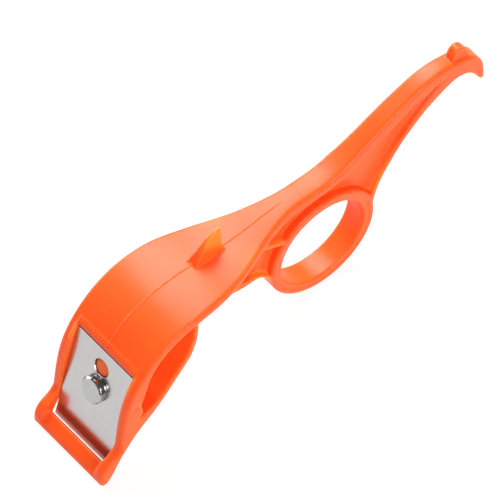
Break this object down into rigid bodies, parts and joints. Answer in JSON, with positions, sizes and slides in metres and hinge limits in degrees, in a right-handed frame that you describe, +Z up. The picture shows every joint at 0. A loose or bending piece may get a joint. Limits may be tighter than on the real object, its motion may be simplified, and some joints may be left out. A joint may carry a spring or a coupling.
{
  "type": "deburring tool",
  "caption": "One-piece moulded hand tool with a finger ring, a hooked tail and a broad head that holds a flat steel blade over a narrow cutting slot.",
  "frame": {"origin": "middle of the tool's length and width, on the bench it lies on", "axes": "+X from the blade head to the hook, +Y along the finger-ring axis, +Z up"},
  "size_m": [0.1278, 0.0252, 0.049],
  "materials": {
    "orange_plastic": "fine satin moulded texture",
    "blade_steel": "ground and polished flat steel",
    "stud_steel": "mirror polish"
  },
  "bodies": {
    "root": {"handle": "orange_plastic", "blade": "blade_steel", "blade_stud": "stud_steel"}
  },
  "joints": []
}
